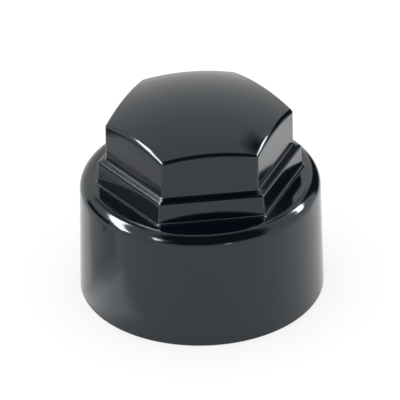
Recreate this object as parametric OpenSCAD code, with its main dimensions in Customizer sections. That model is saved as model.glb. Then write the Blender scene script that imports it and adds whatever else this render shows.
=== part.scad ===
// Wheel nut cover cap: one injection-moulded shell that pushes over a hexagonal wheel nut.
// A round skirt hides the nut's collar. A wide hexagon stands on the skirt's shoulder, and a
// narrower one with a domed end stands on that. The inside follows the outside, and slim ribs
// in the upper hexagon grip the nut. The origin is the centre of the rim, and +Z is the axis.

/* [Nut] */
// Width of the wheel nut across its flats
nut_af = 17; // [13:0.5:19]
// Clearance between the socket and each flat of the nut
nut_clearance = 0.2; // [0.1:0.05:0.5]

/* [Skirt] */
// Outside diameter of the skirt at its rim
skirt_d = 30; // [29:0.5:36]
// Thickness of the skirt's wall at the rim
skirt_wall = 1.5; // [1.2:0.1:2]
// Taper of the outside of the skirt, in degrees a side
skirt_draft = 1.2; // [0:0.1:2]
// Height of the shoulder above the rim
shoulder_h = 15.2; // [12:0.2:20]
// Radius of the rounded edge of the shoulder
shoulder_edge_r = 1.5; // [0.8:0.1:2]
// Thickness of the shoulder
shoulder_t = 1.4; // [1:0.1:2]
// Edge break on the outside of the rim
rim_chamfer = 0.15; // [0.1:0.05:0.3]
// Lead-in chamfer on the inside of the rim
lead_in = 0.4; // [0.2:0.1:0.6]

/* [Wide hexagon] */
// Width of the ledge between the two hexagons
ledge_w = 0.95; // [0.7:0.05:1.1]
// Height of the ledge's outer edge above the shoulder
ledge_h = 3; // [2.4:0.1:4.5]
// Rise of the ledge from its outer edge to the narrow hexagon
ledge_rise = 0.3; // [0.1:0.05:0.5]
// Taper of the wide hexagon's flats, in degrees a side
wide_draft = 2; // [0:0.5:3]
// Radius of the edge between the wide hexagon's flats and the ledge
ledge_edge_r = 0.35; // [0.2:0.05:0.45]
// Radius of the fillet where the wide hexagon meets the shoulder
foot_r = 0.4; // [0.2:0.1:0.6]

/* [Narrow hexagon] */
// Wall thickness of both hexagons and the dome
wall = 1.3; // [1:0.1:1.5]
// Height of the narrow hexagon's corners above the ledge
crown_h = 4.8; // [4:0.2:7]
// Radius of the domed end
dome_r = 27.6; // [22:0.2:45]
// Radius of the edge between the dome and the flats
dome_edge_r = 0.6; // [0.3:0.1:0.9]
// Radius of the upright corners of both hexagons
corner_r = 0.5; // [0.3:0.1:0.8]

/* [Grip ribs] */
// Ribs on each flat of the socket
ribs_per_flat = 2; // [1:1:3]
// Distance between the ribs of a flat
rib_pitch = 4; // [2:0.5:4]
// Width of a rib where it leaves the socket wall
rib_w = 0.8; // [0.6:0.1:1.2]
// Height of a rib above the socket wall
rib_h = 0.25; // [0.15:0.05:0.3]
// Length of a rib
rib_l = 3.6; // [2.4:0.2:3.8]

/* [Hidden] */
$fn = 96;
// How far a cutter runs past the face that it cuts
joint = 0.01;
// Angle, in degrees, at which a rounded edge of the dome runs out into the faces beside it
blend_angle = 6;
sides = 6;

// Widths across the flats, from the nut outwards
socket_af = nut_af + 2 * nut_clearance;
narrow_af = socket_af + 2 * wall;
wide_af = narrow_af + 2 * ledge_w;
wide_cavity_af = wide_af - 2 * wall;

// Heights above the rim
shoulder_under_z = shoulder_h - shoulder_t;
ledge_z = shoulder_h + ledge_h;
narrow_foot_z = ledge_z + ledge_rise;
corner_z = narrow_foot_z + crown_h;

// The dome is a sphere through the tops of the six corners
dome_centre_z = corner_z - sqrt(pow(dome_r, 2) - pow(across_corners(narrow_af) / 2, 2));
dome_top_z = dome_centre_z + dome_r;
dome_under_r = dome_r - wall;

skirt_r = skirt_d / 2;
skirt_bore_r = skirt_r - skirt_wall;

// The width of a hexagon across its corners
function across_corners(af) = af / cos(180 / sides);

// A hexagon with corners on X, whose flats are af apart
module hexagon(af) {
    circle(d = across_corners(af), $fn = sides);
}

// The same hexagon with its corners rounded
module rounded_hexagon(af, r) {
    flat_l = across_corners(af - 2 * r) / 2;
    hexagon(af - 2 * r);
    for (i = [0 : sides / 2 - 1])
        rotate(i * 360 / sides)
            square([flat_l, af], center = true);
    for (i = [0 : sides - 1])
        rotate(i * 360 / sides)
            translate([flat_l, 0])
                circle(r);
}

// What three straight bars, one across each pair of flats, have in common.
// The child is the bars' section, with the distance from the axis on x and the height on y.
module across_flats(length) {
    intersection_for (i = [0 : sides / 2 - 1])
        rotate(i * 360 / sides)
            rotate([90, 0, 90])
                linear_extrude(length, center = true)
                    children();
}

// The skirt as a solid, turned from its section: tapered side and rounded shoulder
module skirt_body() {
    edge_z = shoulder_h - shoulder_edge_r;
    edge_x = skirt_r - edge_z * tan(skirt_draft) - shoulder_edge_r / cos(skirt_draft);
    tangent = [edge_x + shoulder_edge_r * cos(skirt_draft),
               edge_z + shoulder_edge_r * sin(skirt_draft)];
    rim_side = skirt_r - rim_chamfer * tan(skirt_draft);
    rotate_extrude() {
        polygon([[0, 0], [skirt_r - rim_chamfer, 0], [rim_side, rim_chamfer], tangent,
                 [edge_x, edge_z], [edge_x, shoulder_h], [0, shoulder_h]]);
        translate([edge_x, edge_z])
            intersection() {
                circle(shoulder_edge_r);
                square(2 * shoulder_edge_r);
            }
    }
}

// Half of the wide hexagon's section: tapered flat, rounded edge and sloping ledge
module wide_half_section() {
    slope = atan(ledge_rise / ledge_w);
    lean = ledge_h * tan(wide_draft);
    outer_x = wide_af / 2 - lean;
    turn = 90 - wide_draft - slope;
    setback = ledge_edge_r * tan(turn / 2);
    side_end = [outer_x + setback * sin(wide_draft), ledge_z - setback * cos(wide_draft)];
    roof_end = [outer_x - setback * cos(slope), ledge_z + setback * sin(slope)];
    centre = side_end - ledge_edge_r * [cos(wide_draft), sin(wide_draft)];
    polygon([[0, shoulder_under_z + joint], [wide_af / 2, shoulder_under_z + joint],
             [wide_af / 2, shoulder_h], side_end, centre, roof_end,
             [outer_x - ledge_w, narrow_foot_z], [0, narrow_foot_z]]);
    translate(centre)
        circle(ledge_edge_r);
}

// The wide hexagon as a solid
module wide_body() {
    intersection() {
        across_flats(2 * wide_af) {
            wide_half_section();
            mirror([1, 0])
                wide_half_section();
        }
        linear_extrude(narrow_foot_z + joint)
            rounded_hexagon(wide_af, corner_r);
    }
}

// The fillet between the wide hexagon and the shoulder
module foot_fillet() {
    across_flats(2 * wide_af)
        difference() {
            translate([-wide_af / 2 - foot_r, shoulder_h - joint])
                square([wide_af + 2 * foot_r, foot_r + joint]);
            for (side = [-1, 1])
                translate([side * (wide_af / 2 + foot_r), shoulder_h + foot_r])
                    circle(foot_r);
        }
}

// A turned body that rounds the edge between the dome and two opposite flats. It stays outside
// both but for its rounded rim, and crosses each at blend_angle, so that it cuts them cleanly.
module rim_rounder() {
    rim_x = sqrt(pow(dome_r - dome_edge_r, 2) - pow(narrow_af / 2 - dome_edge_r, 2));
    rim_y = narrow_af / 2 - dome_edge_r;
    dome_angle = atan2(rim_y, rim_x) + blend_angle;
    flat_end = [rim_x, rim_y] + dome_edge_r * [sin(blend_angle), cos(blend_angle)];
    dome_end = [rim_x, rim_y] + dome_edge_r * [cos(dome_angle), sin(dome_angle)];
    rotate_extrude()
        for (side = [0, 1])
            mirror([0, side]) {
                polygon([[0, 0], [dome_end[0] + dome_end[1] * tan(dome_angle), 0], dome_end,
                         [rim_x, rim_y], flat_end, [0, flat_end[1] + rim_x * tan(blend_angle)]]);
                translate([rim_x, rim_y])
                    circle(dome_edge_r);
            }
}

// The narrow hexagon and its dome as a solid
module narrow_body() {
    intersection() {
        translate([0, 0, shoulder_h])
            linear_extrude(dome_top_z - shoulder_h + joint)
                rounded_hexagon(narrow_af, corner_r);
        translate([0, 0, dome_centre_z])
            sphere(dome_r);
        translate([0, 0, dome_centre_z])
            intersection_for (i = [0 : sides / 2 - 1])
                rotate([90, 0, i * 360 / sides])
                    rim_rounder();
    }
}

// The hollow of the skirt, with its lead-in at the rim
module skirt_hollow() {
    translate([0, 0, -joint])
        cylinder(r = skirt_bore_r, h = shoulder_under_z + joint);
    translate([0, 0, -joint])
        cylinder(r1 = skirt_bore_r + lead_in + joint, r2 = skirt_bore_r, h = lead_in + joint);
}

// The hexagonal hollows that take the nut, under the ledge and under the dome
module nut_hollow() {
    translate([0, 0, shoulder_under_z - joint])
        linear_extrude(ledge_z - wall - shoulder_under_z + joint)
            hexagon(wide_cavity_af);
    intersection() {
        translate([0, 0, shoulder_under_z - joint])
            linear_extrude(dome_top_z - shoulder_under_z)
                hexagon(socket_af);
        translate([0, 0, dome_centre_z])
            sphere(dome_under_r);
    }
}

// One round-backed rib, whose crest stands rib_h above the socket wall
module grip_rib() {
    rib_r = (pow(rib_w / 2, 2) + pow(rib_h, 2)) / (2 * rib_h);
    translate([socket_af / 2 - rib_h + rib_r, 0, ledge_z])
        intersection() {
            cylinder(r = rib_r, h = rib_l);
            translate([-rib_r, -rib_w / 2, 0])
                cube([rib_h + joint, rib_w, rib_l]);
        }
}

// The ribs of all six flats
module grip_ribs() {
    for (i = [0 : sides - 1], j = [0 : ribs_per_flat - 1])
        rotate((i + 0.5) * 360 / sides)
            translate([0, (j - (ribs_per_flat - 1) / 2) * rib_pitch, 0])
                grip_rib();
}

// The whole cap: one moulding
module cover_cap() {
    color([0.07, 0.08, 0.09]) {
        difference() {
            union() {
                skirt_body();
                wide_body();
                foot_fillet();
                narrow_body();
            }
            skirt_hollow();
            nut_hollow();
        }
        grip_ribs();
    }
}

cover_cap();
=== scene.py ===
"""A wheel nut cover cap in polished black plastic, standing on a white studio table.

The cap is one moulding. Its section is spun round the axis, inside and outside in one go, and
the spun rings are then drawn out to the hexagons, so every edge keeps its true fillet.
"""

import math

import bmesh
import bpy
from bpy.props import FloatProperty, FloatVectorProperty, PointerProperty
from mathutils import Matrix, Vector


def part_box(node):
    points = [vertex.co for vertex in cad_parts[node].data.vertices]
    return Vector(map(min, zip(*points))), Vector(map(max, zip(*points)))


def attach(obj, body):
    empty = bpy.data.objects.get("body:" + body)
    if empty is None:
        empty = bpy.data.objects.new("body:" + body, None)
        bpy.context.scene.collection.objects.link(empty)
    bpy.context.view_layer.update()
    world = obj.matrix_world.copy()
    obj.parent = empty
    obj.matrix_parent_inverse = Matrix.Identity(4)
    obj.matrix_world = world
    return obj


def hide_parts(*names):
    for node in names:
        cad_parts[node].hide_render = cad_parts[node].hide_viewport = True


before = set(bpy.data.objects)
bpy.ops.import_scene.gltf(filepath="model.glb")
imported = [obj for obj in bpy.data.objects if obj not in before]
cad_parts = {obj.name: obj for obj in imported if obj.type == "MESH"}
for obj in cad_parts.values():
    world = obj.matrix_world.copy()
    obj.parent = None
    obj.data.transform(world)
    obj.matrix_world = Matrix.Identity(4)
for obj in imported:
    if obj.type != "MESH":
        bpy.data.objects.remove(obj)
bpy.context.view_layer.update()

bl_info = {
    "name": "Wheel Nut Cover Cap",
    "version": (1, 0, 0),
    "blender": (4, 5, 0),
    "location": "View3D > Sidebar > Cover Cap",
    "description": "Models a push-on cover cap for a wheel nut, with its plastic and its studio",
    "category": "Add Mesh",
}

MM = 0.001
BODY = "root"
CAP_NODE = "cover_cap"
CAP_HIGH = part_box(CAP_NODE)[1]

# How finely the shell is spun: columns round it, of which some turn each corner, and rings on
# the dome and on each rounded edge
SIDES = 6
SIDE_ANGLE = math.tau / SIDES
COLUMNS_PER_SIDE = 48
HALF_CORNER_STEPS = 6
COLUMNS = SIDES * COLUMNS_PER_SIDE
DOME_RINGS = 24
DOME_EDGE_STEPS = 8
SHOULDER_STEPS = 14
SMALL_EDGE_STEPS = 6
RIM_STEPS = 4
INNER_STEPS = 4
# A long stretch gets a holding ring this near each end, so that its shading stays true
HOLDING_GAP = 0.04 * MM
LONG_STRETCH = 0.25 * MM
MERGE_DISTANCE = 0.0005 * MM
SMALLEST_CORNER_R = 0.1 * MM
RIB_SEGMENTS = 40
TABLE_SEGMENTS = 128


def length(name, description, millimetres):
    """A length that a user can change, given in millimetres and held in metres."""
    return FloatProperty(
        name=name,
        description=description,
        default=millimetres * MM,
        min=0.0,
        unit="LENGTH",
        precision=5,
    )


class CapSizes(bpy.types.PropertyGroup):
    """The cap's own sizes. Its overall width and height come from the frame."""

    skirt_wall: length("Skirt wall", "Thickness of the skirt at its rim", 1.5)
    skirt_draft: FloatProperty(
        name="Skirt taper",
        description="Taper of the outside of the skirt",
        default=math.radians(1.2),
        subtype="ANGLE",
    )
    shoulder_h: length("Shoulder height", "Height of the shoulder above the rim", 15.2)
    shoulder_edge_r: length("Shoulder edge", "Radius of the shoulder's outer edge", 1.5)
    shoulder_t: length("Shoulder thickness", "Thickness of the shoulder", 1.4)
    rim_edge_r: length("Rim edge", "Radius of the rim's outer edge", 0.15)
    lead_in: length("Lead-in", "Chamfer on the inside of the rim", 0.4)
    socket_af: length("Socket width", "Width of the socket across its flats", 17.4)
    wall: length("Wall", "Thickness of the hexagons and the dome", 1.3)
    ledge_w: length("Ledge width", "Width of the ledge between the hexagons", 0.95)
    ledge_h: length("Ledge height", "Height of the ledge above the shoulder", 3.0)
    ledge_rise: length("Ledge rise", "How far the ledge rises towards the middle", 0.3)
    ledge_edge_r: length("Ledge edge", "Radius of the ledge's outer edge", 0.35)
    ledge_root_r: length("Ledge root", "Fillet between the ledge and the upper flats", 0.3)
    wide_draft: FloatProperty(
        name="Wide hexagon taper",
        description="Taper of the wide hexagon's flats",
        default=math.radians(2.0),
        subtype="ANGLE",
    )
    foot_r: length("Foot fillet", "Fillet between the wide hexagon and the shoulder", 0.4)
    crown_edge_r: length("Crown edge", "Radius of the edge between dome and flats", 0.6)
    corner_r: length("Corner radius", "Radius of the upright corners at the ledge", 0.5)
    dome_r: length("Dome radius", "Radius of the domed end", 27.6)
    inner_r: length("Inner edge", "Radius of the edges inside the cap", 0.25)
    rib_pitch: length("Rib pitch", "Distance between the two ribs of a flat", 4.0)
    rib_w: length("Rib width", "Width of a rib where it leaves the wall", 0.8)
    rib_h: length("Rib height", "Height of a rib above the wall", 0.25)
    rib_l: length("Rib length", "Length of a rib", 3.6)


class CapFinish(bpy.types.PropertyGroup):
    """The plastic's colour and polish."""

    plastic: FloatVectorProperty(
        name="Plastic",
        description="Colour of the moulded plastic",
        subtype="COLOR",
        size=3,
        default=(0.0025, 0.0045, 0.0085),
        min=0.0,
        max=1.0,
    )
    polish: FloatProperty(
        name="Outside roughness",
        description="Roughness of the polished outside",
        default=0.1,
        min=0.0,
        max=1.0,
    )
    # Paler than the polished plastic: partly the satin's duller look, partly painted light that
    # lifts the dim inside
    inside_plastic: FloatVectorProperty(
        name="Inside plastic",
        description="Colour of the plastic where it isn't polished",
        subtype="COLOR",
        size=3,
        default=(0.026, 0.029, 0.034),
        min=0.0,
        max=1.0,
    )
    inside: FloatProperty(
        name="Inside roughness",
        description="Roughness of the unpolished inside",
        default=0.45,
        min=0.0,
        max=1.0,
    )


# Where the columns stand, and the rings that the section is made of


def column_frame(column):
    """A column's flat (the angle it faces), its place along that flat from -1 to 1, and the
    angle that the wall itself faces there, which turns from flat to flat round a corner."""
    side, step = divmod(column, COLUMNS_PER_SIDE)
    flat_angle = (side + 0.5) * SIDE_ANGLE
    flat_steps = COLUMNS_PER_SIDE - 2 * HALF_CORNER_STEPS
    before = HALF_CORNER_STEPS - step
    after = step - HALF_CORNER_STEPS - flat_steps
    along = max(-1.0, min(1.0, 2.0 * (step - HALF_CORNER_STEPS) / flat_steps - 1.0))
    turn = max(after, 0) - max(before, 0)
    facing = flat_angle + 0.5 * SIDE_ANGLE * turn / HALF_CORNER_STEPS
    return flat_angle, along, facing


def facing_vector(column):
    """The way the wall of a hexagon faces at a column."""
    facing = column_frame(column)[2]
    return Vector((math.cos(facing), math.sin(facing), 0.0))


def hexagon_core(column, apothem):
    """A column's point on a sharp hexagon, which a corner's columns all share."""
    flat_angle, along, _ = column_frame(column)
    across = along * apothem * math.tan(0.5 * SIDE_ANGLE)
    normal = Vector((math.cos(flat_angle), math.sin(flat_angle), 0.0))
    tangent = Vector((-normal.y, normal.x, 0.0))
    return normal * apothem + tangent * across


def hexagon_ring(apothem, z, corner_r):
    """A level hexagon with rounded corners."""

    def place(column):
        core = hexagon_core(column, apothem - corner_r)
        return core + facing_vector(column) * corner_r + Vector((0.0, 0.0, z))

    return place


def round_ring(radius, z, guide):
    """A level circle whose columns lie in line with those of the guide ring."""

    def place(column):
        spoke = guide(column)
        spoke.z = 0.0
        return spoke.normalized() * radius + Vector((0.0, 0.0, z))

    return place


def between(first, second, share):
    """A ring part of the way from one ring to the next."""

    def place(column):
        return first(column).lerp(second(column), share)

    return place


def arc(centre_x, centre_z, radius, start, end, steps):
    """Points (distance from the axis, height) along an arc, from one angle to another."""
    turns = [start + (end - start) * i / steps for i in range(steps + 1)]
    return [
        (centre_x + radius * math.cos(turn), centre_z + radius * math.sin(turn))
        for turn in turns
    ]


def dome_rings(s, centre_z):
    """The dome, from its middle out, and the fillet where it meets the flats: a ball of the
    edge's radius that rolls inside the dome and the wall, so it follows the six arcs."""
    centre = Vector((0.0, 0.0, centre_z))
    apothem = 0.5 * s.socket_af + s.wall
    core_r = s.dome_r - s.crown_edge_r

    def ball(column):
        core = hexagon_core(column, apothem - s.crown_edge_r)
        core.z = centre_z + math.sqrt(core_r**2 - core.length_squared)
        return core

    def on_dome(share):
        def place(column):
            spoke = (ball(column) - centre).normalized()
            return centre + s.dome_r * Vector((0.0, 0.0, 1.0)).slerp(spoke, share)

        return place

    def on_fillet(share):
        def place(column):
            spoke = (ball(column) - centre).normalized()
            return ball(column) + s.crown_edge_r * spoke.slerp(facing_vector(column), share)

        return place

    steps = DOME_EDGE_STEPS
    rings = [on_dome(i / DOME_RINGS) for i in range(DOME_RINGS)]
    rings += [on_fillet(i / steps) for i in range(steps + 1)]
    return rings


def crown_rings(s):
    """The narrow hexagon's foot, the ledge and the wide hexagon, down to the shoulder."""
    narrow = 0.5 * s.socket_af + s.wall
    wide = narrow + s.ledge_w
    ledge_z = s.shoulder_h + s.ledge_h
    slope = math.atan2(s.ledge_rise, s.ledge_w)

    def rings(points, wall):
        return [
            hexagon_ring(x, z, max(s.corner_r + x - wall, SMALLEST_CORNER_R)) for x, z in points
        ]

    root_x = narrow + s.ledge_root_r
    lean = s.ledge_h * math.tan(s.wide_draft)
    root_z = ledge_z + (wide - lean - root_x) * math.tan(slope)
    root_z += s.ledge_root_r / math.cos(slope)
    root_end = 1.5 * math.pi - slope
    root = arc(root_x, root_z, s.ledge_root_r, math.pi, root_end, SMALL_EDGE_STEPS)

    setback = s.ledge_edge_r * math.tan(0.5 * (0.5 * math.pi - s.wide_draft - slope))
    edge_x = wide - lean + setback * math.sin(s.wide_draft)
    edge_x -= s.ledge_edge_r * math.cos(s.wide_draft)
    edge_z = ledge_z - setback * math.cos(s.wide_draft)
    edge_z -= s.ledge_edge_r * math.sin(s.wide_draft)
    edge_start = 0.5 * math.pi - slope
    edge = arc(edge_x, edge_z, s.ledge_edge_r, edge_start, s.wide_draft, SMALL_EDGE_STEPS)

    foot_x, foot_z = wide + s.foot_r, s.shoulder_h + s.foot_r
    foot_start, foot_end = math.pi - s.wide_draft, 1.5 * math.pi
    foot = arc(foot_x, foot_z, s.foot_r, foot_start, foot_end, SMALL_EDGE_STEPS)
    return rings(root, narrow) + rings(edge, wide) + rings(foot, wide)


def skirt_points(s):
    """The skirt's section, from the shoulder's outer edge down to the rim's outer edge."""
    rim_r = CAP_HIGH.x
    edge_z = s.shoulder_h - s.shoulder_edge_r
    edge_x = rim_r - edge_z * math.tan(s.skirt_draft)
    edge_x -= s.shoulder_edge_r / math.cos(s.skirt_draft)
    shoulder = arc(
        edge_x, edge_z, s.shoulder_edge_r, 0.5 * math.pi, s.skirt_draft, SHOULDER_STEPS
    )
    r = s.rim_edge_r
    return shoulder + arc(rim_r - r, r, r, s.skirt_draft, -0.5 * math.pi, RIM_STEPS)


def bore_points(s):
    """The skirt's inside, from the rim up to the underside of the shoulder."""
    bore_r = CAP_HIGH.x - s.skirt_wall
    under_z = s.shoulder_h - s.shoulder_t
    lead = [(bore_r + s.lead_in, 0.0), (bore_r, s.lead_in)]
    r = s.inner_r
    return lead + arc(bore_r - r, under_z - r, r, 0.0, 0.5 * math.pi, INNER_STEPS)


def socket_rings(s, centre_z):
    """The hexagonal hollows inside: under the ledge, then the socket up under the dome, which
    ends in the middle."""
    socket = 0.5 * s.socket_af
    hollow = socket + s.ledge_w
    under_z = s.shoulder_h - s.shoulder_t
    step_z = s.shoulder_h + s.ledge_h - s.wall
    r = s.inner_r

    def rings(points):
        return [hexagon_ring(x, z, r) for x, z in points]

    mouth = arc(hollow + r, under_z + r, r, 1.5 * math.pi, math.pi, INNER_STEPS)
    roof = arc(hollow - r, step_z - r, r, 0.0, 0.5 * math.pi, INNER_STEPS)
    step = arc(socket + r, step_z + r, r, 1.5 * math.pi, math.pi, INNER_STEPS)

    centre = Vector((0.0, 0.0, centre_z))
    under_r = s.dome_r - s.wall

    def under_dome(share):
        def place(column):
            top = hexagon_ring(socket, 0.0, r)(column) * share
            top.z = math.sqrt(under_r**2 - top.length_squared)
            return centre + top

        return place

    dome = [under_dome(1.0 - i / DOME_RINGS) for i in range(DOME_RINGS + 1)]
    return rings(mouth + roof + step) + dome


def with_holding_rings(rings):
    """The same rings, with one more near each end of every long stretch."""
    held = [rings[0]]
    for first, second in zip(rings, rings[1:]):
        gap = (second(0) - first(0)).length
        if gap > LONG_STRETCH and len(held) > 1:
            share = HOLDING_GAP / gap
            held += [between(first, second, share), between(first, second, 1.0 - share)]
        held.append(second)
    return held


def spin_shell(rings):
    """Spins the section at the first column right round, then draws each ring out to its
    own place, column by column. Returns the closed bmesh and the layer that numbers its rings."""
    bm = bmesh.new()
    ring_of = bm.verts.layers.int.new("ring")
    section = []
    for index, ring in enumerate(rings):
        vert = bm.verts.new(ring(0))
        vert[ring_of] = index
        section.append(vert)
    for first, second in zip(section, section[1:]):
        bm.edges.new((first, second))
    bmesh.ops.spin(
        bm,
        geom=bm.verts[:] + bm.edges[:],
        cent=(0.0, 0.0, 0.0),
        axis=(0.0, 0.0, 1.0),
        angle=math.tau,
        steps=COLUMNS,
        use_merge=True,
    )
    for vert in bm.verts:
        turn = math.atan2(vert.co.y, vert.co.x) % math.tau
        column = round(turn / math.tau * COLUMNS) % COLUMNS
        vert.co = rings[vert[ring_of]](column)
    bmesh.ops.remove_doubles(bm, verts=bm.verts[:], dist=MERGE_DISTANCE)
    bmesh.ops.recalc_face_normals(bm, faces=bm.faces[:])
    return bm, ring_of


def shade_and_link(bm, name):
    """Makes an object of a bmesh, smooth all over."""
    for face in bm.faces:
        face.smooth = True
    mesh = bpy.data.meshes.new(name)
    bm.to_mesh(mesh)
    bm.free()
    piece = bpy.data.objects.new(name, mesh)
    bpy.context.scene.collection.objects.link(piece)
    return piece


# The pieces


def make_ribs(s):
    """The slim round-backed ribs, two on each flat of the socket, as one loose object."""
    rib_r = ((0.5 * s.rib_w) ** 2 + s.rib_h**2) / (2.0 * s.rib_h)
    low_z = s.shoulder_h + s.ledge_h
    bm = bmesh.new()
    for side in range(SIDES):
        for share in (-0.5, 0.5):
            place = Matrix.Rotation((side + 0.5) * SIDE_ANGLE, 4, "Z") @ Matrix.Translation(
                (0.5 * s.socket_af - s.rib_h + rib_r, share * s.rib_pitch, low_z + 0.5 * s.rib_l)
            )
            bmesh.ops.create_cone(
                bm,
                cap_ends=True,
                segments=RIB_SEGMENTS,
                radius1=rib_r,
                radius2=rib_r,
                depth=s.rib_l,
                matrix=place,
            )
    return shade_and_link(bm, "ribs")


def make_moulding(s, finish):
    """The whole cap as one closed shell that stands for the CAD node."""
    centre_z = CAP_HIGH.z - s.dome_r
    outside = dome_rings(s, centre_z) + crown_rings(s)
    guide = hexagon_ring(0.5 * s.socket_af + s.wall + s.ledge_w, 0.0, s.corner_r)
    outside += [round_ring(x, z, guide) for x, z in skirt_points(s)]
    inside = [round_ring(x, z, guide) for x, z in bore_points(s)]
    inside += socket_rings(s, centre_z)
    outside, inside = with_holding_rings(outside), with_holding_rings(inside)

    bm, ring_of = spin_shell(outside + inside)
    for face in bm.faces:
        face.material_index = int(min(v[ring_of] for v in face.verts) >= len(outside))
    cap = shade_and_link(bm, "cover_cap_moulding")
    ribs = make_ribs(s)
    for face in ribs.data.polygons:
        face.material_index = 1
    for material in (polished_plastic(finish), inside_plastic(finish)):
        cap.data.materials.append(material)
        ribs.data.materials.append(material)
    weld = cap.modifiers.new("ribs", "BOOLEAN")
    weld.operation, weld.solver, weld.object = "UNION", "EXACT", ribs
    graph = bpy.context.evaluated_depsgraph_get()
    welded = bpy.data.meshes.new_from_object(cap.evaluated_get(graph))
    cap.modifiers.clear()
    cap.data = welded
    bpy.data.objects.remove(ribs)
    # The flats decide the shading at their edges, so they stay truly flat
    shading = cap.modifiers.new("flat flats", "WEIGHTED_NORMAL")
    shading.mode, shading.weight = "FACE_AREA", 100
    return cap


# The plastic

PLASTIC_IOR = 1.54
# The plastic mirrors the room a little cooler than it is
COOL_SHEEN = (0.88, 0.97, 1.0)
# Noise scales in the object's own metres: the patches are a few millimetres across
PATCH_SCALE = 160.0
PATCH_DETAIL = 4.0
WAVE_DETAIL = 2.0
WAVE_DEPTH = 0.02 * MM


def surface_group():
    """Node group: the faint waviness and uneven polish of a moulded surface."""
    name = "moulded surface"
    if name in bpy.data.node_groups:
        return bpy.data.node_groups[name]
    group = bpy.data.node_groups.new(name, "ShaderNodeTree")
    for socket in ("Roughness", "Unevenness", "Wave scale", "Wave strength"):
        group.interface.new_socket(socket, in_out="INPUT", socket_type="NodeSocketFloat")
    group.interface.new_socket("Roughness", in_out="OUTPUT", socket_type="NodeSocketFloat")
    group.interface.new_socket("Normal", in_out="OUTPUT", socket_type="NodeSocketVector")
    nodes, links = group.nodes, group.links
    entry, leave = nodes.new("NodeGroupInput"), nodes.new("NodeGroupOutput")
    where = nodes.new("ShaderNodeTexCoord")

    patches = nodes.new("ShaderNodeTexNoise")
    patches.inputs["Scale"].default_value = PATCH_SCALE
    patches.inputs["Detail"].default_value = PATCH_DETAIL
    centred = nodes.new("ShaderNodeMath")
    centred.operation = "SUBTRACT"
    centred.inputs[1].default_value = 0.5
    spread = nodes.new("ShaderNodeMath")
    spread.operation = "MULTIPLY"
    rough = nodes.new("ShaderNodeMath")
    rough.operation = "ADD"
    links.new(where.outputs["Object"], patches.inputs["Vector"])
    links.new(patches.outputs["Fac"], centred.inputs[0])
    links.new(centred.outputs[0], spread.inputs[0])
    links.new(entry.outputs["Unevenness"], spread.inputs[1])
    links.new(spread.outputs[0], rough.inputs[0])
    links.new(entry.outputs["Roughness"], rough.inputs[1])
    links.new(rough.outputs[0], leave.inputs["Roughness"])

    waves = nodes.new("ShaderNodeTexNoise")
    waves.inputs["Detail"].default_value = WAVE_DETAIL
    bump = nodes.new("ShaderNodeBump")
    bump.inputs["Distance"].default_value = WAVE_DEPTH
    links.new(where.outputs["Object"], waves.inputs["Vector"])
    links.new(entry.outputs["Wave scale"], waves.inputs["Scale"])
    links.new(waves.outputs["Fac"], bump.inputs["Height"])
    links.new(entry.outputs["Wave strength"], bump.inputs["Strength"])
    links.new(bump.outputs["Normal"], leave.inputs["Normal"])
    return group


def plastic(name, colour, roughness, unevenness, wave_scale, wave_strength):
    """One finish of the black plastic."""
    material = bpy.data.materials.new(name)
    material.use_nodes = True
    nodes, links = material.node_tree.nodes, material.node_tree.links
    shader = nodes["Principled BSDF"]
    shader.inputs["Base Color"].default_value = (*colour, 1.0)
    shader.inputs["IOR"].default_value = PLASTIC_IOR
    shader.inputs["Specular Tint"].default_value = (*COOL_SHEEN, 1.0)
    surface = nodes.new("ShaderNodeGroup")
    surface.node_tree = surface_group()
    surface.inputs["Roughness"].default_value = roughness
    surface.inputs["Unevenness"].default_value = unevenness
    surface.inputs["Wave scale"].default_value = wave_scale
    surface.inputs["Wave strength"].default_value = wave_strength
    links.new(surface.outputs["Roughness"], shader.inputs["Roughness"])
    links.new(surface.outputs["Normal"], shader.inputs["Normal"])
    return material


def polished_plastic(finish):
    """The outside: a mould polished to a gloss."""
    return plastic(
        "polished black plastic",
        finish.plastic,
        finish.polish,
        unevenness=0.05,
        wave_scale=350.0,
        wave_strength=0.05,
    )


def inside_plastic(finish):
    """The inside, which nobody sees: the plain satin of a machined core. Its colour is paler than
    the polished plastic's, partly for the satin's duller look and partly as painted light that
    lifts the dim inside.
    """
    return plastic(
        "satin black plastic",
        finish.inside_plastic,
        finish.inside,
        unevenness=0.12,
        wave_scale=2500.0,
        wave_strength=0.25,
    )


# The studio

# The photograph's view: where the camera stands, as angles round the cap, and what it aims at
VIEW_AZIMUTH = math.radians(-6.9)
VIEW_ELEVATION = math.radians(32.3)
VIEW_ROLL = math.radians(1.1)
VIEW_DISTANCE = 0.75
AIM = Vector((-0.07 * MM, 0.0, 11.5 * MM))
SENSOR = 36.0
LENS = 552.0
CLIP_START = 0.01
CLIP_END = 20.0

# The strip lights: both ends as azimuth and elevation in degrees, seen from the cap, where the
# front is 0 and the right 90. Then the width in degrees, and the brightness against the room's
SOFTBOX_DISTANCE = 1.5
SOFTBOXES = {
    "left softbox": ((-138.0, 53.0), (-79.0, 12.0), 13.0, 16.0),
    "left front softbox": ((-51.0, 38.0), (-45.0, 21.0), 9.0, 18.0),
    "right softbox": ((121.0, 43.0), (98.0, 18.0), 8.0, 18.0),
    "front strip": ((16.0, 3.0), (18.0, 12.0), 6.0, 4.0),
}
# A lamp's energy for each unit of its brightness and area
LAMP_ENERGY = 4.0

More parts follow.
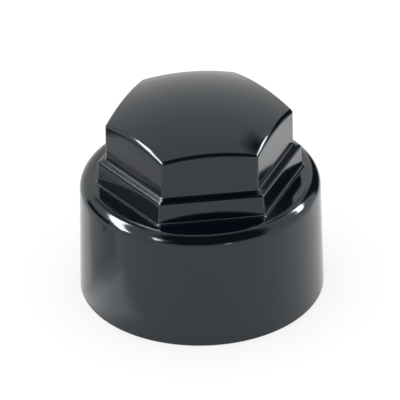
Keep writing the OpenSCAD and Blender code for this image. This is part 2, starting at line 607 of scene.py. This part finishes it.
# The cards that a black gloss needs to show its edges: four corners in millimetres from the
# centre of the rim, how pale the card is, its own glow, and the border over which it fades
# out, as a share of the way to its middle
CARDS = {
    # Darkens the dome's front edge, the front of the ledge and the front of the shoulder
    "front card": (
        ((-832, -862, 63), (944, -738, 63), (400, 250, 1141), (-321, 185, 1141)),
        0.03,
        0.0,
        0.3,
    ),
    # Darkens the wide hexagon's right flat and the right end of the shoulder
    "right card": (
        ((54.6, 20, 0.1), (29.4, 51, 0.1), (37.2, 33, 54), (47, 12, 54)),
        0.03,
        0.0,
        0.25,
    ),
    # Draws the dark line under the highlight of the dome's left arc
    "left card": (
        ((-24.1, 8, 12.8), (-26.5, -8, 12.8), (-26.5, -8, 19.5), (-24.1, 8, 19.5)),
        0.1,
        0.0,
        0.3,
    ),
    # Draws the dark band along the dome's right arc
    "dome card": (
        ((11, -7.8, 22.4), (18, 5.5, 22.4), (18, 5.5, 27.5), (11, -7.8, 27.5)),
        0.03,
        0.0,
        0.6,
    ),
    # Puts the dark patch on the dome beside the right arc's highlight
    "high right card": (
        ((610, 321, 738), (370, 582, 738), (290, 375, 888), (408, 205, 898)),
        0.03,
        0.0,
        0.75,
    ),
    # Darkens the right ledge, just above it, where the dome doesn't mirror it
    "ledge card": (
        ((8.8, -5, 23.6), (10.1, -5.8, 23.6), (17.4, 6.8, 23.6), (16, 7.5, 23.6)),
        0.3,
        0.0,
        0.3,
    ),
    # Darkens the top of the wide hexagon's left flat and the foot of the flat above it
    "lower left card": (
        ((-39.6, 14, 0.4), (-41.6, 13, 0.4), (-33.1, -1.8, 0.4), (-31.1, -0.6, 0.4)),
        0.3,
        0.0,
        0.2,
    ),
    # Keeps the left softbox off the shoulder, which would mirror it by way of the wide hexagon
    "foot card": (
        ((-14.5, 2.6, 18.4), (-16.7, 1.3, 18.4), (-9.2, -11.7, 18.4), (-7, -10.4, 18.4)),
        0.95,
        0.0,
        0.25,
    ),
    # A painted shadow: a grey sheet on the table, seen only in the plastic, that stands for the
    # cap's own shadow there. It shades the upper left flat and the left of the skirt
    "left shade": (
        ((-17, -1, 0.3), (-28, -9, 0.3), (-54, -4, 0.3), (-36, 26, 0.3)),
        0.73,
        0.0,
        0.25,
    ),
    # A glowing card on the table, seen only in the plastic: a painted pool of light that
    # brightens the foot of the skirt on the left
    "left glow": (
        ((-12, -1, 0.4), (-20, -2, 0.4), (-27, -11, 0.4), (-12, -15, 0.4)),
        0.8,
        0.9,
        0.5,
    ),
    # A glowing card on the table, seen only in the plastic: painted light that brightens the
    # upper right flat
    "floor card": (
        ((27, 3, 0.3), (42, 6, 0.3), (50, 28, 0.3), (35, 24, 0.3)),
        0.8,
        0.7,
        0.5,
    ),
}
# The table: its greys as light falls on it and as the eye sees it, which adds up to white
TABLE_GREY = 0.8
SHADOW_GREY = 0.35
TABLE_WHITE = 0.7
TABLE_GAP = 0.01 * MM
TABLE_R = 4.0
TABLE_OPENING = 0.9 * CAP_HIGH.x


def round_the_cap(azimuth, elevation):
    """The unit vector from the cap to a place in the studio. Azimuth 0 is the front."""
    return Vector((
        math.sin(azimuth) * math.cos(elevation),
        -math.cos(azimuth) * math.cos(elevation),
        math.sin(elevation),
    ))


def make_softbox(name, first, last, width, brightness):
    """A strip light that faces the cap. It only shows as a highlight in the plastic, so that
    the room alone lights every colour, at a plain level."""
    first = round_the_cap(*(math.radians(angle) for angle in first))
    last = round_the_cap(*(math.radians(angle) for angle in last))
    back, along = (first + last).normalized(), (last - first).normalized()
    light = bpy.data.lights.new(name, "AREA")
    light.shape = "RECTANGLE"
    light.size = 2.0 * SOFTBOX_DISTANCE * math.tan(0.5 * first.angle(last))
    light.size_y = 2.0 * SOFTBOX_DISTANCE * math.tan(0.5 * math.radians(width))
    light.energy = LAMP_ENERGY * brightness * light.size * light.size_y
    lamp = bpy.data.objects.new(name, light)
    turn = Matrix((along, back.cross(along), back)).transposed().to_4x4()
    lamp.matrix_world = Matrix.Translation(AIM + back * SOFTBOX_DISTANCE) @ turn
    lamp.visible_camera = lamp.visible_diffuse = False
    bpy.context.scene.collection.objects.link(lamp)


def make_card(name, corners, paleness, glow, fade):
    """A matt card with soft edges that only the plastic's reflections see."""
    corners = [Vector(corner) * MM for corner in corners]
    middle = sum(corners, Vector()) / len(corners)
    bm = bmesh.new()
    cover = bm.verts.layers.float.new("cover")
    outer = [bm.verts.new(corner) for corner in corners]
    inner = [bm.verts.new(corner.lerp(middle, fade)) for corner in corners]
    bm.faces.new(inner)
    for i in range(len(corners)):
        bm.faces.new((outer[i - 1], outer[i], inner[i], inner[i - 1]))
    for vert in inner:
        vert[cover] = 1.0
    card = shade_and_link(bm, name)
    material = bpy.data.materials.new(name)
    material.use_nodes = True
    nodes, links = material.node_tree.nodes, material.node_tree.links
    shader, border = nodes["Principled BSDF"], nodes.new("ShaderNodeAttribute")
    border.attribute_name = "cover"
    links.new(border.outputs["Fac"], shader.inputs["Alpha"])
    shader.inputs["Base Color"].default_value = (paleness, paleness, paleness, 1.0)
    shader.inputs["Roughness"].default_value = 1.0
    shader.inputs["Specular IOR Level"].default_value = 0.0
    shader.inputs["Emission Strength"].default_value = glow
    card.data.materials.append(material)
    card.visible_camera = card.visible_diffuse = card.visible_shadow = False
    card.visible_transmission = False


def make_camera():
    """A long lens at the photograph's angle, with the photograph's slight tilt."""
    data = bpy.data.cameras.new("camera")
    data.sensor_width, data.lens = SENSOR, LENS
    data.clip_start, data.clip_end = CLIP_START, CLIP_END
    camera = bpy.data.objects.new("camera", data)
    back = round_the_cap(VIEW_AZIMUTH, VIEW_ELEVATION)
    right = Vector((math.cos(VIEW_AZIMUTH), math.sin(VIEW_AZIMUTH), 0.0))
    up = back.cross(right)
    right, up = (
        right * math.cos(VIEW_ROLL) - up * math.sin(VIEW_ROLL),
        right * math.sin(VIEW_ROLL) + up * math.cos(VIEW_ROLL),
    )
    turn = Matrix((right, up, back)).transposed().to_4x4()
    camera.matrix_world = Matrix.Translation(AIM + back * VIEW_DISTANCE) @ turn
    bpy.context.scene.collection.objects.link(camera)
    bpy.context.scene.camera = camera


def seen_rays(nodes, links):
    """Light Path: 1 for what the eye sees directly, or in a mirror or through glass."""
    path = nodes.new("ShaderNodeLightPath")
    total = None
    for ray in ("Is Camera Ray", "Is Glossy Ray", "Is Transmission Ray"):
        if total is None:
            total = path.outputs[ray]
            continue
        either = nodes.new("ShaderNodeMath")
        either.operation = "MAXIMUM"
        links.new(total, either.inputs[0])
        links.new(path.outputs[ray], either.inputs[1])
        total = either.outputs[0]
    return total


def make_floor():
    """The white table, just under the rim. It shows white and keeps the cap's soft shadow. For
    views from below it is clear from that side, with an opening under the bore for the light."""
    bm = bmesh.new()
    level = Matrix.Translation((0.0, 0.0, -TABLE_GAP))
    for radius in (TABLE_OPENING, TABLE_R):
        bmesh.ops.create_circle(bm, segments=TABLE_SEGMENTS, radius=radius, matrix=level)
    bmesh.ops.bridge_loops(bm, edges=bm.edges[:])
    bm.normal_update()
    down = [face for face in bm.faces if face.normal.z < 0.0]
    bmesh.ops.reverse_faces(bm, faces=down)
    floor = shade_and_link(bm, "table")
    material = bpy.data.materials.new("white table")
    material.use_nodes = True
    nodes, links = material.node_tree.nodes, material.node_tree.links
    nodes.remove(nodes["Principled BSDF"])
    plain, shadow = nodes.new("ShaderNodeBsdfDiffuse"), nodes.new("ShaderNodeBsdfDiffuse")
    plain.inputs["Color"].default_value = (TABLE_GREY, TABLE_GREY, TABLE_GREY, 1.0)
    shadow.inputs["Color"].default_value = (SHADOW_GREY, SHADOW_GREY, SHADOW_GREY, 1.0)
    white, both, pick = (
        nodes.new("ShaderNodeEmission"),
        nodes.new("ShaderNodeAddShader"),
        nodes.new("ShaderNodeMixShader"),
    )
    below, clear, side = (
        nodes.new("ShaderNodeNewGeometry"),
        nodes.new("ShaderNodeBsdfTransparent"),
        nodes.new("ShaderNodeMixShader"),
    )
    white.inputs["Strength"].default_value = TABLE_WHITE
    links.new(white.outputs[0], both.inputs[0])
    links.new(shadow.outputs[0], both.inputs[1])
    links.new(seen_rays(nodes, links), pick.inputs["Fac"])
    links.new(plain.outputs[0], pick.inputs[1])
    links.new(both.outputs[0], pick.inputs[2])
    links.new(below.outputs["Backfacing"], side.inputs["Fac"])
    links.new(pick.outputs[0], side.inputs[1])
    links.new(clear.outputs[0], side.inputs[2])
    links.new(side.outputs[0], nodes["Material Output"].inputs["Surface"])
    floor.data.materials.append(material)


def make_world():
    """A plain white room, which lights every colour evenly and is the background too."""
    world = bpy.data.worlds.new("studio")
    world.use_nodes = True
    room = world.node_tree.nodes["Background"]
    room.inputs["Color"].default_value = (1.0, 1.0, 1.0, 1.0)
    room.inputs["Strength"].default_value = 1.0
    bpy.context.scene.world = world


def make_stage():
    """The studio: room, table, lights, cards and camera."""
    bpy.context.scene.view_settings.view_transform = "Standard"
    make_world()
    make_floor()
    for name, softbox in SOFTBOXES.items():
        make_softbox(name, *softbox)
    for name, card in CARDS.items():
        make_card(name, *card)
    make_camera()


class MESH_OT_cover_cap_moulding(bpy.types.Operator):
    """Models the cap as one closed shell, with its grip ribs and both finishes"""

    bl_idname = "mesh.cover_cap_moulding"
    bl_label = "Cap Moulding"

    def execute(self, context):
        cap = make_moulding(context.scene.cap_sizes, context.scene.cap_finish)
        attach(cap, BODY)
        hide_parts(CAP_NODE)
        return {"FINISHED"}


class SCENE_OT_cover_cap_stage(bpy.types.Operator):
    """Sets up the white table, the studio lights and the camera"""

    bl_idname = "scene.cover_cap_stage"
    bl_label = "Studio"

    def execute(self, context):
        make_stage()
        return {"FINISHED"}


class VIEW3D_PT_cover_cap(bpy.types.Panel):
    """The cap's operators and sizes in the sidebar"""

    bl_idname = "VIEW3D_PT_cover_cap"
    bl_label = "Wheel Nut Cover Cap"
    bl_space_type = "VIEW_3D"
    bl_region_type = "UI"
    bl_category = "Cover Cap"

    def draw(self, context):
        layout = self.layout
        for operator in (MESH_OT_cover_cap_moulding, SCENE_OT_cover_cap_stage):
            layout.operator(operator.bl_idname)
        for group in (context.scene.cap_sizes, context.scene.cap_finish):
            column = layout.column(align=True)
            for name in group.bl_rna.properties.keys():
                if name not in {"rna_type", "name"}:
                    column.prop(group, name)


CLASSES = (
    CapSizes,
    CapFinish,
    MESH_OT_cover_cap_moulding,
    SCENE_OT_cover_cap_stage,
    VIEW3D_PT_cover_cap,
)


def register():
    """Registers the classes and hangs the settings on the scene."""
    for cls in CLASSES:
        bpy.utils.register_class(cls)
    bpy.types.Scene.cap_sizes = PointerProperty(type=CapSizes)
    bpy.types.Scene.cap_finish = PointerProperty(type=CapFinish)


def unregister():
    """Takes off what register() put on."""
    del bpy.types.Scene.cap_finish
    del bpy.types.Scene.cap_sizes
    for cls in reversed(CLASSES):
        bpy.utils.unregister_class(cls)


def main():
    register()
    bpy.ops.mesh.cover_cap_moulding()
    bpy.ops.scene.cover_cap_stage()


if __name__ == "__main__":
    main()
